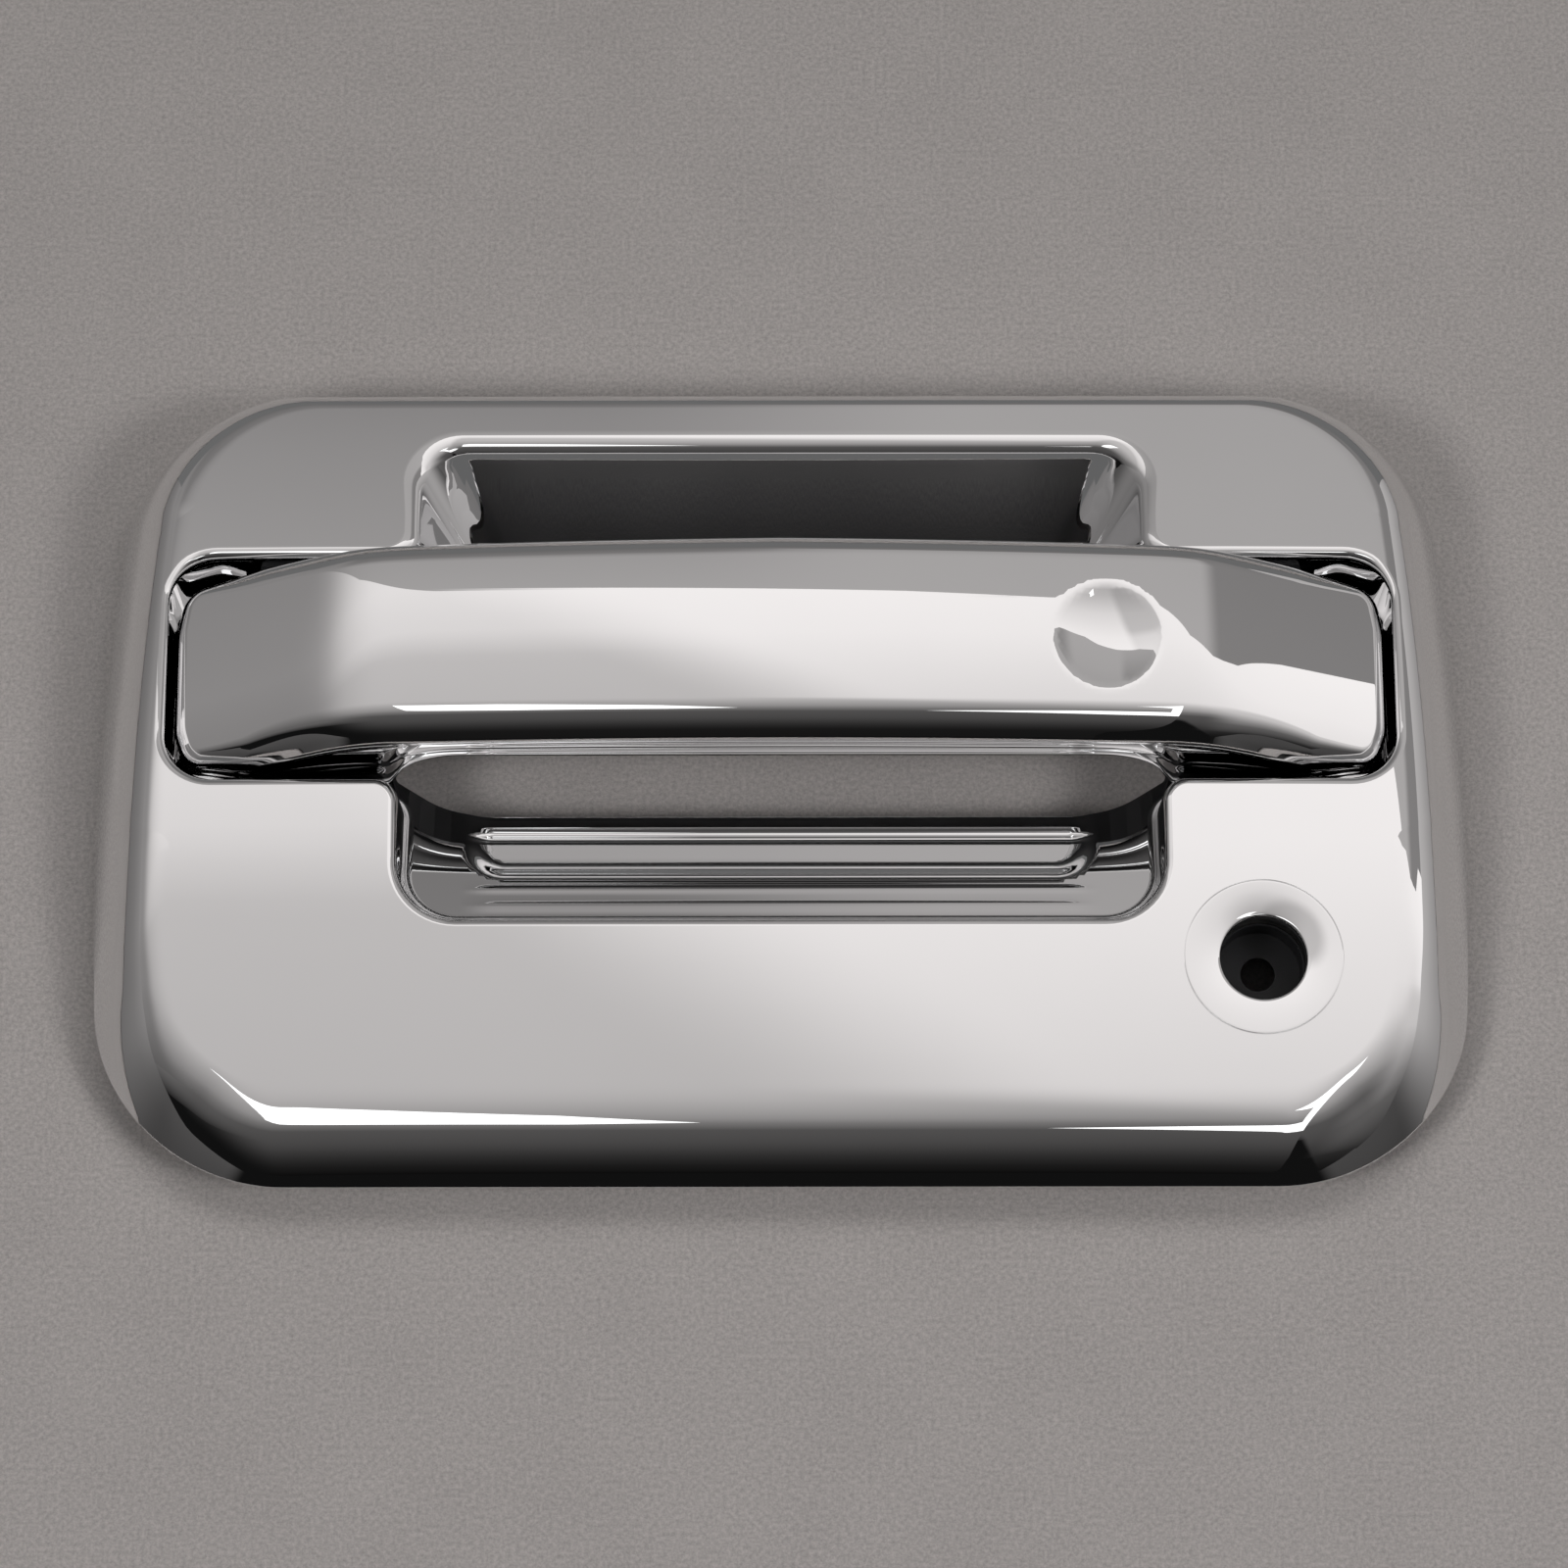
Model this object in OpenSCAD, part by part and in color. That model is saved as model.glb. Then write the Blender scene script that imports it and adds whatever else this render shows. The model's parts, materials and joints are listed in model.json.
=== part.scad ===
// Outside door handle: a plated surround with a finger window, a pull strap hinged along its top edge, and
// the bell crank, springs and carrier behind it. It lies on its back: X runs along the door, Y up the door,
// Z out of the door, and the carrier's feet rest on z = 0.

/* [Surround] */
// Length of the surround along the door
bezel_w = 240; // [236:1:246]
// Height of the surround up the door
bezel_h = 149.4; // [147:0.2:152]
// Height of the rim's back edge above the feet
rim_z = 7; // [6.5:0.5:8]
// Height of the face at the top of its crown
face_top = 24.8; // [24.5:0.1:25.5]
// Thickness of the surround's moulding
wall = 2.4; // [2:0.1:2.6]

/* [Strap] */
// Half the length of the pull strap
strap_half = 104.5; // [103.5:0.5:105]
// Height of the strap's crest above the feet
strap_top = 40.5; // [39:0.5:42]
// Height of the finger arch under the strap
arch_z = 25.5; // [24.5:0.5:26.5]
// How far the strap is shown pulled, in degrees
pull = 0; // [0:1:18]

/* [Lock opening] */
// Radius of the hole for the key cylinder
lock_r = 7.4; // [7:0.1:7.6]
// Radius of the dish around the hole
dish_r = 13.8; // [13:0.1:14.5]

/* [Hinge and mounting] */
// Radius of the two hinge pins
pin_r = 2; // [1.8:0.1:2.1]
// Radius of the thread in the mounting inserts
thread_r = 2.5; // [2:0.5:3]

/* [Hidden] */
$fn = 48;
eps = 0.01;

// Surround: outlines are [half width, bottom y, top y, bottom corner radius, top corner radius]
rim_line = [bezel_w / 2, -bezel_h / 2, bezel_h / 2, 30, 26];
face_line = [bezel_w / 2 - 10, -bezel_h / 2 + 15.5, bezel_h / 2 - 8, 13, 19];
bow = 3.2;               // how much narrower the sides are, 60 mm from the widest place
bow_y = -8.5;            // the widest place
crown_y = 31.5;          // the crown's ridge
crown_k = 0.00105;       // the crown's curvature
roll_power = 2.2;        // how the rolled edge bends down
corner_steps = 9;
side_steps = 3;

// Finger pocket
end_x = 107.5;
end_y0 = -5;
end_y1 = 37;
end_floor = 11.5;
end_r = 8.5;
tray_x = 66.5;
tray_y = -30.5;
tray_r = 10.5;
well_x = 55;
cup_x = 64.5;
cup_y = 59.5;
cup_r = 8;
cup_floor = 8;
cup_slope = 10.5;          // how far the cup's walls lean in from top to bottom
window_y0 = -7.4;
window_y1 = 36;
floor_t = 2;

// Strap
strap_y0 = -2.5;
strap_y1 = 34.4;
strap_base = 13.5;
strap_wall = 2.2;
crest_y = 31;
strap_k = 0.004;           // the front's curvature
dimple = [56.5, 15.2];
dimple_r = 9.3;
dimple_ball = 26;          // radius of the ball that the dimple is part of

// Hinge and bell crank, as [y, z]
hinge = [44.5, 14];
crank = [57.5, 10];
hub_r = 4.6;
bush_r = 3;
run_gap = 0.05;
arm_x = [82, 92];
ear_in = [76, 80];
ear_out = [97, 101];
arm_z = [12.3, 17.3];
crank_x = [-91, -86];
crank_plate = [-91, -88];
rod_y = 64;
clip_turn_r = 1.6;

// Carrier
plate_z = [2, 5];
plate = [106, -58, 66, 16, 16];
post_xy = [[-44.3, -46.7], [44.3, -46.7], [-77.3, -21.1], [74.1, -16.3], [-70.6, 51.1], [70.6, 51.1]];
post_r = 3.5;
screw_r = 1.5;
post_hole = 8;
mount_x = 94;
mount_y = [-50, 22];
boss_r = 6;
insert_r = 4.2;
insert_top = 7.5;

// Lock
lock_at = [83, -37.3];
lock_lean = 9.5;
boss_out = 9.4;
tail_r = 3;              // the sleeve's back, where the key cylinder's tail comes out

// ---------------------------------------------------------------- shared shapes

function face_z(y) = face_top - crown_k * pow(y - crown_y, 2);

function narrowing(y) = 1 - bow / (bezel_w / 2) * pow((y - bow_y) / 60, 2);

function arc(cx, cy, r, a0, a1, n) =
    [for (i = [0:n]) let (a = a0 + (a1 - a0) * i / n) [cx + r * cos(a), cy + r * sin(a)]];

function between(a, b, n) = [for (i = [1:n]) a + (b - a) * i / (n + 1)];

// A rectangle with round corners, the same number of points whatever its size
function outline(s, n = corner_steps, m = side_steps) =
    let (
        w = s[0], y0 = s[1], y1 = s[2], rb = s[3], rt = s[4],
        tr = arc(w - rt, y1 - rt, rt, 0, 90, n),
        tl = arc(rt - w, y1 - rt, rt, 90, 180, n),
        bl = arc(rb - w, y0 + rb, rb, 180, 270, n),
        br = arc(w - rb, y0 + rb, rb, 270, 360, n)
    )
    concat(
        tr, between(tr[n], tl[0], m), tl, between(tl[n], bl[0], m),
        bl, between(bl[n], br[0], m), br, between(br[n], tr[0], m)
    );

function bowed(pts) = [for (p = pts) [p[0] * narrowing(p[1]), p[1]]];

function inset(s, d) = [s[0] - d, s[1] + d, s[2] - d, s[3] - d * 0.8, s[4] - d * 0.8];

// A closed solid through rings of equal length, the first and last closed flat
module skin(rings) {
    n = len(rings[0]);
    k = len(rings);
    polyhedron(
        points = [for (r = rings) each r],
        faces = concat(
            [[for (i = [0:n - 1]) i]],
            [for (j = [0:k - 2], i = [0:n - 1])
                let (a = j * n + i, b = j * n + (i + 1) % n) [a, b + n, b]],
            [for (j = [0:k - 2], i = [0:n - 1])
                let (a = j * n + i, b = j * n + (i + 1) % n) [a, a + n, b + n]],
            [[for (i = [0:n - 1]) k * n - 1 - i]]
        )
    );
}

module along_x(x0, x1) translate([x0, 0, 0]) rotate([90, 0, 90]) linear_extrude(x1 - x0) children();

module along_y(y0, y1) translate([0, y1, 0]) rotate([90, 0, 0]) linear_extrude(y1 - y0) children();

module up(z0, z1) translate([0, 0, z0]) linear_extrude(z1 - z0) children();

module rod_x(x0, x1, r, at) translate([x0, at[0], at[1]]) rotate([0, 90, 0]) cylinder(h = x1 - x0, r = r);

module box(x, y, z) translate([x[0], y[0], z[0]]) cube([x[1] - x[0], y[1] - y[0], z[1] - z[0]]);

module both_sides() {
    children();
    mirror([1, 0, 0]) children();
}

// A coil of round wire about X, starting at angle a0
module coil(x0, turns, pitch, r, wire, at, a0, steps = 14, sides = 6) {
    n = turns * steps;
    skin([for (i = [0:n])
        let (a = a0 + 360 * i / steps, x = x0 + pitch * i / steps)
        [for (j = [0:sides - 1])
            let (b = 360 * j / sides, q = r + wire / 2 * cos(b))
            [x - wire / 2 * sin(b), at[0] + q * cos(a), at[1] + q * sin(a)]]]);
}

// Tools for the lock, in a frame that leans with the face
module at_lock() translate([lock_at[0], lock_at[1], face_z(lock_at[1])]) rotate([lock_lean, 0, 0]) children();

module tube(r_out, r_in, z0, z1) difference() {
    translate([0, 0, z0]) cylinder(h = z1 - z0, r = r_out);
    translate([0, 0, z0 - 1]) cylinder(h = z1 - z0 + 2, r = r_in);
}

// ---------------------------------------------------------------- surround

// One ring of the rolled edge: t is 0 at the face and 1 at the rim, and drop lowers it for the inner skin
function roll_ring(outer, inner, t, drop, base) =
    let (o = bowed(outline(outer)), i = bowed(outline(inner)))
    [for (k = [0:len(o) - 1])
        let (
            p = i[k] + (o[k] - i[k]) * t,
            fall = (face_z(o[k][1]) - rim_z) * pow(t, roll_power)
        )
        [p[0], p[1], t == 1 ? base : max(rim_z, face_z(p[1]) - fall - drop)]];

function face_ring(inner, s, drop) =
    [for (p = bowed(outline(inner)))
        let (y = 4 + (p[1] - 4) * s) [p[0] * s, y, face_z(y) - drop]];

function skin_rings(outer, inner, drop, base) = concat(
    [for (t = [1, 0.85, 0.68, 0.5, 0.3]) roll_ring(outer, inner, t, drop * (1 - pow(t, 3)), base)],
    [for (s = [1, 0.75, 0.5, 0.25, 0.03]) face_ring(inner, s, drop)]
);

module bezel_outside() skin(skin_rings(rim_line, face_line, 0, rim_z));

module bezel_cavity() skin(skin_rings(inset(rim_line, wall), inset(face_line, wall / 2), wall, rim_z - 1));

module rounded(x, y, r) {
    translate([x[0] + r, y[0]]) square([x[1] - x[0] - 2 * r, y[1] - y[0]]);
    translate([x[0], y[0] + r]) square([x[1] - x[0], y[1] - y[0] - 2 * r]);
    for (cx = [x[0] + r, x[1] - r], cy = [y[0] + r, y[1] - r]) translate([cx, cy]) circle(r);
}

module end_plan(grow = 0) rounded([-end_x - grow, end_x + grow], [end_y0 - grow, end_y1 + grow], end_r + grow);

module tray_plan(grow = 0) rounded([-tray_x - grow, tray_x + grow], [tray_y - grow, 20], tray_r + grow);

module cup_solid(grow) hull() {
    up(face_top + 2, face_top + 3) rounded([-cup_x - grow, cup_x + grow], [20, cup_y + grow], cup_r + grow);
    up(cup_floor - grow, cup_floor - grow + eps)
        rounded([-cup_x + cup_slope - grow, cup_x - cup_slope + grow], [20, cup_y - cup_slope + grow], cup_r);
}

// The tray below the window, as [y, z]: a steep wall and a flange, and a stepped well in the flange's middle
flange_line = [[tray_y, 18], [tray_y + 0.8, 16.4], [tray_y + 2.4, 15.6], [-0.4, 10.8], [20, 10.8]];
well_line = [[-20.4, 14.2], [-19.2, 12], [-17.6, 11.4], [window_y0 + 2, 11.4]];

// What lies above a line, with the line grown out and down by g
module above(line, g) polygon(concat(
    [[line[0][0] - g, 40]], [for (p = line) p - [g, g]], [[line[len(line) - 1][0], 40]]
));

module tray_space(g) intersection() {
    up(0, 40) tray_plan(g);
    union() {
        along_x(-tray_x - g, tray_x + g) above(flange_line, g);
        along_x(-well_x - g, well_x + g) above(well_line, g);
    }
}

// The hole right through, which narrows to a point at each end
module window_plan() polygon([
    [-tray_x - 1, -0.4], [-60, -5.2], [-54, window_y0], [54, window_y0], [60, -5.2], [tray_x + 1, -0.4],
    [tray_x + 1, end_y1 - 4], [58, window_y1], [-58, window_y1], [-tray_x - 1, end_y1 - 4],
]);

module pocket_walls() {
    up(end_floor - floor_t, 40) end_plan(floor_t);
    tray_space(floor_t);
    cup_solid(floor_t);
}

module pocket_voids() {
    up(end_floor, 40) end_plan();
    tray_space(0);
    cup_solid(0);
    up(-1, 40) window_plan();
}

module arm_notches() both_sides()
    box([arm_x[0] - 2.4, arm_x[1] + 2.4], [end_y1 - 2, end_y1 + 4], [arm_z[0] - 3.5, arm_z[1] + 3.9]);

module screw_posts() for (p = post_xy) translate([p[0], p[1], rim_z - 2]) cylinder(h = 30, r = post_r);

module lock_boss() at_lock() translate([0, 0, -8]) cylinder(h = 12, r = boss_out);

module lock_cuts() at_lock() {
    translate([0, 0, -20]) cylinder(h = 40, r = lock_r);
    translate([0, 0, -2.6]) cylinder(h = 2.62, r1 = lock_r + 0.8, r2 = dish_r);
    translate([0, 0, 0]) cylinder(h = 6, r = dish_r);
}

module bezel() color("silver") difference() {
    bezel_outside();
    difference() {
        bezel_cavity();
        pocket_walls();
        screw_posts();
        lock_boss();
    }
    pocket_voids();
    arm_notches();
    lock_cuts();
    for (p = post_xy) translate([p[0], p[1], rim_z - 1]) cylinder(h = post_hole, r = screw_r + run_gap);
    both_sides() translate([end_x - 7.5, 3, 0]) cylinder(h = 20, r = screw_r + run_gap);
}

module rim_gasket() color("dimgray") up(rim_z - 2, rim_z) difference() {
    polygon(bowed(outline(inset(rim_line, 1.6))));
    polygon(bowed(outline(inset(rim_line, 6.5))));
}

// ---------------------------------------------------------------- carrier

module ear(x, with_crank) along_x(x[0], x[1]) difference() {
    union() {
        translate(hinge) circle(hub_r);
        translate([hinge[0] - hub_r, 0]) square([hub_r * 2, hinge[1]]);
        if (with_crank) {
            translate(crank) circle(4);
            translate([hinge[0], 0]) square([crank[0] - hinge[0] + 4, crank[1]]);
        }
    }
    translate(hinge) circle(pin_r);
    if (with_crank) translate(crank) circle(pin_r);
}

module carrier_plan() difference() {
    polygon(outline(plate));
    rounded([-69, 69], [-23, 38], 8);
    translate([-96, 48.5]) square([15.5, 30]);
    translate([-82, 60]) square([15, 20]);
    translate([lock_at[0], lock_at[1] + 2.5]) circle(13.4);
}

module stiffening_ribs() {
    for (y = [-36, -56]) box([-60, 60], [y, y + 2], [plate_z[1] - 1, plate_z[1] + 4]);
    for (x = [-60, -20, 18, 58]) box([x, x + 2], [-56, -34], [plate_z[1] - 1, plate_z[1] + 4]);
    both_sides() for (y = [-10, 6, 33]) box([72, 104], [y, y + 2], [plate_z[1] - 1, plate_z[1] + 3.6]);
    for (y = [-42, -28]) box([-64, 64], [y, y + 1.6], [0.6, plate_z[0] + 1]);
    both_sides() box([78, 79.6], [-14, 34], [0.6, plate_z[0] + 1]);
}

module mount_boss(x, y) translate([x, y, 0]) cylinder(h = insert_top + 0.5, r = boss_r);

module carrier() color("#202224") difference() {
    union() {
        up(plate_z[0], plate_z[1]) carrier_plan();
        stiffening_ribs();
        both_sides() for (y = [1, 21]) box([plate[0] - 1, plate[0] + 3], [y, y + 5], plate_z);
        for (x = [-mount_x, mount_x], y = mount_y) mount_boss(x, y);
        for (p = post_xy) translate([p[0], p[1], plate_z[0] + 1]) cylinder(h = rim_z - plate_z[0] - 1, r = post_r + 1);
        for (e = [ear_in, ear_out]) ear(e, false);
        mirror([1, 0, 0]) for (e = [ear_in, ear_out]) ear(e, true);
    }
    for (x = [-mount_x, mount_x], y = mount_y) translate([x, y, -1]) cylinder(h = 20, r = insert_r);
    for (p = post_xy) translate([p[0], p[1], -1]) cylinder(h = 20, r = screw_r + 0.3);
}

module mount_inserts() color("goldenrod")
    for (x = [-mount_x, mount_x], y = mount_y) translate([x, y, 0])
        tube(insert_r - eps, thread_r, 0, insert_top);

module screw(h, r, head_r, head_h) {
    translate([0, 0, 0]) cylinder(h = head_h, r = head_r);
    cylinder(h = h, r = r);
}

module bezel_screws() color("gray") for (p = post_xy) translate([p[0], p[1], plate_z[0] - 1.6]) difference() {
    screw(12, screw_r, 3.2, 1.6);
    translate([0, 0, -1]) cylinder(h = 2, r = 1.4, $fn = 6);
}

module bump_stops() color("#151515") both_sides() translate([end_x - 7.5, 3, 0]) {
    translate([0, 0, end_floor]) cylinder(h = strap_base - end_floor - 0.3, r = 3.2);
    translate([0, 0, end_floor - floor_t - 1]) cylinder(h = floor_t + 2, r = screw_r);
}

// A headed pin along X from the outer end x0 in to x1, with a groove for its clip
module headed_pin(x0, x1, at) difference() {
    union() {
        rod_x(x0, x1, pin_r - eps, at);
        rod_x(x0 - 1.4, x0, pin_r + 1.2, at);
    }
    translate([x1 - 1.6, at[0], at[1]]) rotate([0, 90, 0]) tube(pin_r + 1, pin_r - 0.5, 0, 0.8);
}

module hinge_pin_left() color("silver") headed_pin(-ear_out[1], -ear_in[0] + 2.4, hinge);

module hinge_pin_right() color("silver") mirror([1, 0, 0]) hinge_pin_left();

module crank_pin() color("silver") headed_pin(-ear_out[1], -ear_in[0] + 2.4, crank);

module snap_clip(at) translate([-ear_in[0] + 0.85, at[0], at[1]]) rotate([0, 90, 0]) difference() {
    tube(pin_r + 2, pin_r - 0.45, 0, 0.7);
    translate([-8, -1.1, -1]) cube([8, 2.2, 3]);
}

module pin_clips() color("dimgray") {
    snap_clip(hinge);
    snap_clip(crank);
    mirror([1, 0, 0]) snap_clip(hinge);
}

// ---------------------------------------------------------------- lock opening

module lock_sleeve() color("#1a1a1a") at_lock() difference() {
    union() {
        tube(11, lock_r, -16.6, -4);
        tube(11, tail_r, -16.6, -15);
    }
    translate([0, 0, -9]) cylinder(h = 8, r = boss_out + run_gap);
    translate([0, 0, -13.6]) tube(14, 10, 0, 1.2);
}

module lock_seal() color("#2b2b2b") at_lock() tube(boss_out - 0.1, lock_r + 0.3, -9, -8);

module lock_clip() color("silver") at_lock() translate([0, 0, -13.5]) difference() {
    tube(12.6, 10.05, 0, 1);
    translate([-20, -6, -1]) cube([20, 12, 3]);
}

// ---------------------------------------------------------------- strap

function crest(x) = strap_top - 0.0004 * x * x;

// The front of the strap at a station: [x, height, bottom y, top y]
stations = [
    [0, strap_top, strap_y0, strap_y1], [40, crest(40), strap_y0, strap_y1 - 0.3],
    [60, crest(60), strap_y0, strap_y1 - 0.5], [70, crest(70) - 0.6, strap_y0, strap_y1 - 0.7],
    [78, crest(78) - 2.5, strap_y0, strap_y1 - 1], [97, 26.4, strap_y0, strap_y1 - 2.2],
    [101.5, 23.9, strap_y0 + 1, strap_y1 - 4.4], [103.6, 22.7, strap_y0 + 2.6, strap_y1 - 6.6],
    [strap_half, 21.6, strap_y0 + 5.5, strap_y1 - 10],
];

function strap_section(y0, y1, top) = concat(
    [[y0, 0]],
    arc(y0 + 2.5, top - 6.4, 2.5, 180, 100, 5),
    [for (i = [1:4]) let (y = y0 + 2 + (y1 - y0 - 7) * i / 4) [y, top - strap_k * pow(y - crest_y, 2)]],
    arc(y1 - 5, top - 5.2, 5, 80, 0, 6),
    [[y1, 0]]
);

module strap_slab(s, shrink) along_x(s[0] - eps, s[0])
    polygon(strap_section(s[2] + shrink, s[3] - shrink, s[1] - shrink));

module strap_body(shrink = 0) hull() both_sides() for (s = stations)
    translate([s[0] > strap_half - 4 ? -shrink : 0, 0, 0]) strap_slab(s, shrink);

// Everything above the strap's lower edge, which lifts over the fingers
module above_arch(lift = 0) along_y(-20, 60) polygon(concat(
    [[-130, strap_base + lift], [-68, strap_base + lift]],
    arc(-67.5 + 12, arch_z + lift - 12, 12, 180, 90, 6),
    arc(67.5 - 12, arch_z + lift - 12, 12, 90, 0, 6),
    [[68, strap_base + lift], [130, strap_base + lift], [130, 60], [-130, 60]]
));

module arm_gaps() both_sides()
    box([arm_x[0] - 0.5, arm_x[1] + 0.5], [strap_y1 - 6, strap_y1 + 2], [0, arm_z[1] + 0.5]);

// The ball that presses the dimple into the front, lowered by drop
module dimple_press(drop = 0) translate([
    dimple[0], dimple[1],
    crest(dimple[0]) - strap_k * pow(dimple[1] - crest_y, 2)
        + sqrt(pow(dimple_ball, 2) - pow(dimple_r, 2)) - drop
]) sphere(dimple_ball);

module handle_cover() color("silver") difference() {
    intersection() {
        strap_body();
        above_arch();
    }
    difference() {
        strap_body(strap_wall);
        dimple_press(strap_wall);
    }
    arm_gaps();
    dimple_press();
}

screw_spots = [[77, 12], [97, 15]];

module arm(side) {
    x = side < 0 ? [-arm_x[1], -arm_x[0]] : arm_x;
    hub = side < 0 ? [-92, -80.4] : [80.4, 96.6];
    box(x, [20, hinge[0] - 2], arm_z);
    rod_x(hub[0], hub[1], hub_r, hinge);
}

// The finger on the left hub that presses the crank's paddle
module push_finger() along_x(crank_x[0], crank_x[1]) polygon([
    hinge + [0, hub_r - 0.4], hinge + [4.5, 2], hinge + [7.9, -2.6], hinge + [7.5, -3.8],
    hinge + [6.4, -3.8], hinge + [2, -3],
]);

module handle_core() color("#1c1d20") difference() {
    union() {
        intersection() {
            strap_body(strap_wall + 0.02);
            above_arch(1.2);
        }
        arm(-1);
        arm(1);
        push_finger();
    }
    rod_x(-110, -70, bush_r + eps, hinge);
    rod_x(70, 110, bush_r + eps, hinge);
    dimple_press(strap_wall + 0.3);
    both_sides() for (s = screw_spots) translate([s[0], s[1], 0]) {
        cylinder(h = 23, r = 1.25);
        cylinder(h = strap_base + 2.8, r = 2.9);
    }
}

module cover_screws() color("gray") both_sides() for (s = screw_spots)
    translate([s[0], s[1], strap_base + 1.2]) difference() {
        screw(7, 1.2, 2.6, 1.6);
        translate([0, 0, -1]) cylinder(h = 1.9, r = 1.1, $fn = 6);
    }

module bush(x0, x1) translate([x0, hinge[0], hinge[1]]) rotate([0, 90, 0])
    tube(bush_r, pin_r + run_gap, 0, x1 - x0);

module pivot_bush_left() color("ivory") bush(-92, -80.4);

module pivot_bush_right() color("ivory") bush(80.4, 96.6);

module handle_spring() color("lightgray") {
    coil(-96.4, 3, 1.15, pin_r + 1.5, 1.05, hinge, 200);
    rod_x(-93.1, -92.1, 0.45, hinge + [-2.9, 1.9]);
}

// ---------------------------------------------------------------- bell crank

module bell_crank() color("#8d9095") difference() {
    union() {
        rod_x(crank_x[0], crank_x[1], 4.2, crank);
        along_x(crank_x[0], crank_x[1]) polygon([
            crank + [0, -0.4], crank + [0, -3.6], crank + [-7.5, -3], crank + [-7.9, -1.6], crank + [-7.2, -0.4],
        ]);
        along_x(crank_plate[0], crank_plate[1]) {
            translate([crank[0], crank[1] - 3.6]) square([rod_y + 1 - crank[0], 7.2]);
            translate([rod_y + 1, crank[1]]) circle(3.6);
        }
    }
    rod_x(-120, -70, pin_r + run_gap, crank);
    rod_x(-120, -70, clip_turn_r + run_gap, [rod_y, crank[1]]);
    rod_x(-120, -70, 0.8, [rod_y - 3.4, crank[1] + 2.2]);
}

module counterweight() color("#6f7073") difference() {
    box([crank_plate[1], -70], [rod_y - 2.2, rod_y + 3.4], [crank[1] - 3.4, crank[1] + 3.4]);
    rod_x(crank_plate[1] - 1, crank_plate[1] + 2.2, clip_turn_r + 0.7, [rod_y, crank[1]]);
    rod_x(-120, -60, 0.82, [rod_y + 2, crank[1] + 2.2]);
}

module weight_rivet() color("lightgray") rod_x(-84, -69.6, 0.8, [rod_y + 2, crank[1] + 2.2]);

module crank_spring() color("lightgray") coil(-85.2, 3, 1.2, pin_r + 1.5, 1.05, crank, 90);

// A plastic clip whose stem turns in the crank, with a bore for the latch rod
module rod_clip() color("seagreen") difference() {
    union() {
        rod_x(-96.6, -91.3, 3.1, [rod_y, crank[1]]);
        rod_x(-91.4, -87.6, clip_turn_r, [rod_y, crank[1]]);
        rod_x(-87.6, -86.6, clip_turn_r + 0.4, [rod_y, crank[1]]);
    }
    translate([-94, rod_y, crank[1] - 6]) cylinder(h = 12, r = 1.5);
}

// ---------------------------------------------------------------- assembly

module pulled() translate([0, hinge[0], hinge[1]]) rotate([-pull, 0, 0])
    translate([0, -hinge[0], -hinge[1]]) children();

module cranked() translate([0, crank[0], crank[1]]) rotate([pull * 1.05, 0, 0])
    translate([0, -crank[0], -crank[1]]) children();

bezel();
carrier();
rim_gasket();
mount_inserts();
bezel_screws();
bump_stops();
hinge_pin_left();
hinge_pin_right();
crank_pin();
pin_clips();
lock_sleeve();
lock_seal();
lock_clip();
pulled() handle_cover();
pulled() handle_core();
pulled() cover_screws();
pulled() pivot_bush_left();
pulled() pivot_bush_right();
handle_spring();
cranked() bell_crank();
cranked() counterweight();
cranked() weight_rivet();
crank_spring();
cranked() rod_clip();
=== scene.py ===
"""Looks of the outside door handle.

The plated surround and pull strap are rebuilt as fine meshes; then come materials, light and camera. Shapes
are in millimetres in the CAD frame until a mesh is made from them. Lights and camera are in metres.
"""
import json
import math

import bpy
import numpy as np
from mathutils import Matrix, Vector
from mathutils.geometry import delaunay_2d_cdt


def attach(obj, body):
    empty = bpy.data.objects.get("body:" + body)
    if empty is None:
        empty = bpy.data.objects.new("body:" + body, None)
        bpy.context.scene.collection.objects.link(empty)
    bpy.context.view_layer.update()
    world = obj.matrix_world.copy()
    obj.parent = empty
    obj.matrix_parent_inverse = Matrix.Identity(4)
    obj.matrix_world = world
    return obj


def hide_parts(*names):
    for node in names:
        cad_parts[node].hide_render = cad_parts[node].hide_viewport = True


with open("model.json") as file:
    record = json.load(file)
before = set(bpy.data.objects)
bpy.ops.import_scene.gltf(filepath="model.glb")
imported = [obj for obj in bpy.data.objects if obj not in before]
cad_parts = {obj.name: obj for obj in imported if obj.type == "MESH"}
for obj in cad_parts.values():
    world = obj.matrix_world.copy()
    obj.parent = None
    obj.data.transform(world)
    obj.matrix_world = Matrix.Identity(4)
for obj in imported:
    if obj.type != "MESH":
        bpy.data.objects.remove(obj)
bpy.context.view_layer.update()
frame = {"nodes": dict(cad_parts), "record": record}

MM = 0.001

# ------------------------------------------------------------------ sizes of the two plated pieces

SKIN = 1.8                       # thickness of the plated moulding

RIM_Z = 7.0                      # height of the surround's back edge
RIM_EDGE_R = 0.45                # rounding of that edge
HALF_L, HALF_H = 120.0, 74.7     # half the surround's length and height
BOW, BOW_Y = 3.2, -8.5           # how much its ends narrow, 60 mm from the widest place
FACE_TOP, CROWN_Y, CROWN_K = 24.8, 31.5, 0.00105
END_FALL = 0.6                   # how much lower the face is 110 mm from the middle
FACE_L = 105.5                   # half the length of the face inside the rolled edge
ROLL_STEPS = 34

LOCK = np.array([83.0, -37.3])
LOCK_LEAN = math.radians(9.5)
DISH_R, BORE_R = 13.8, 7.4
DISH_FALL, BORE_LIP = 0.5, 0.55  # depth of the dish, and rounding of the bore's edge

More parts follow.
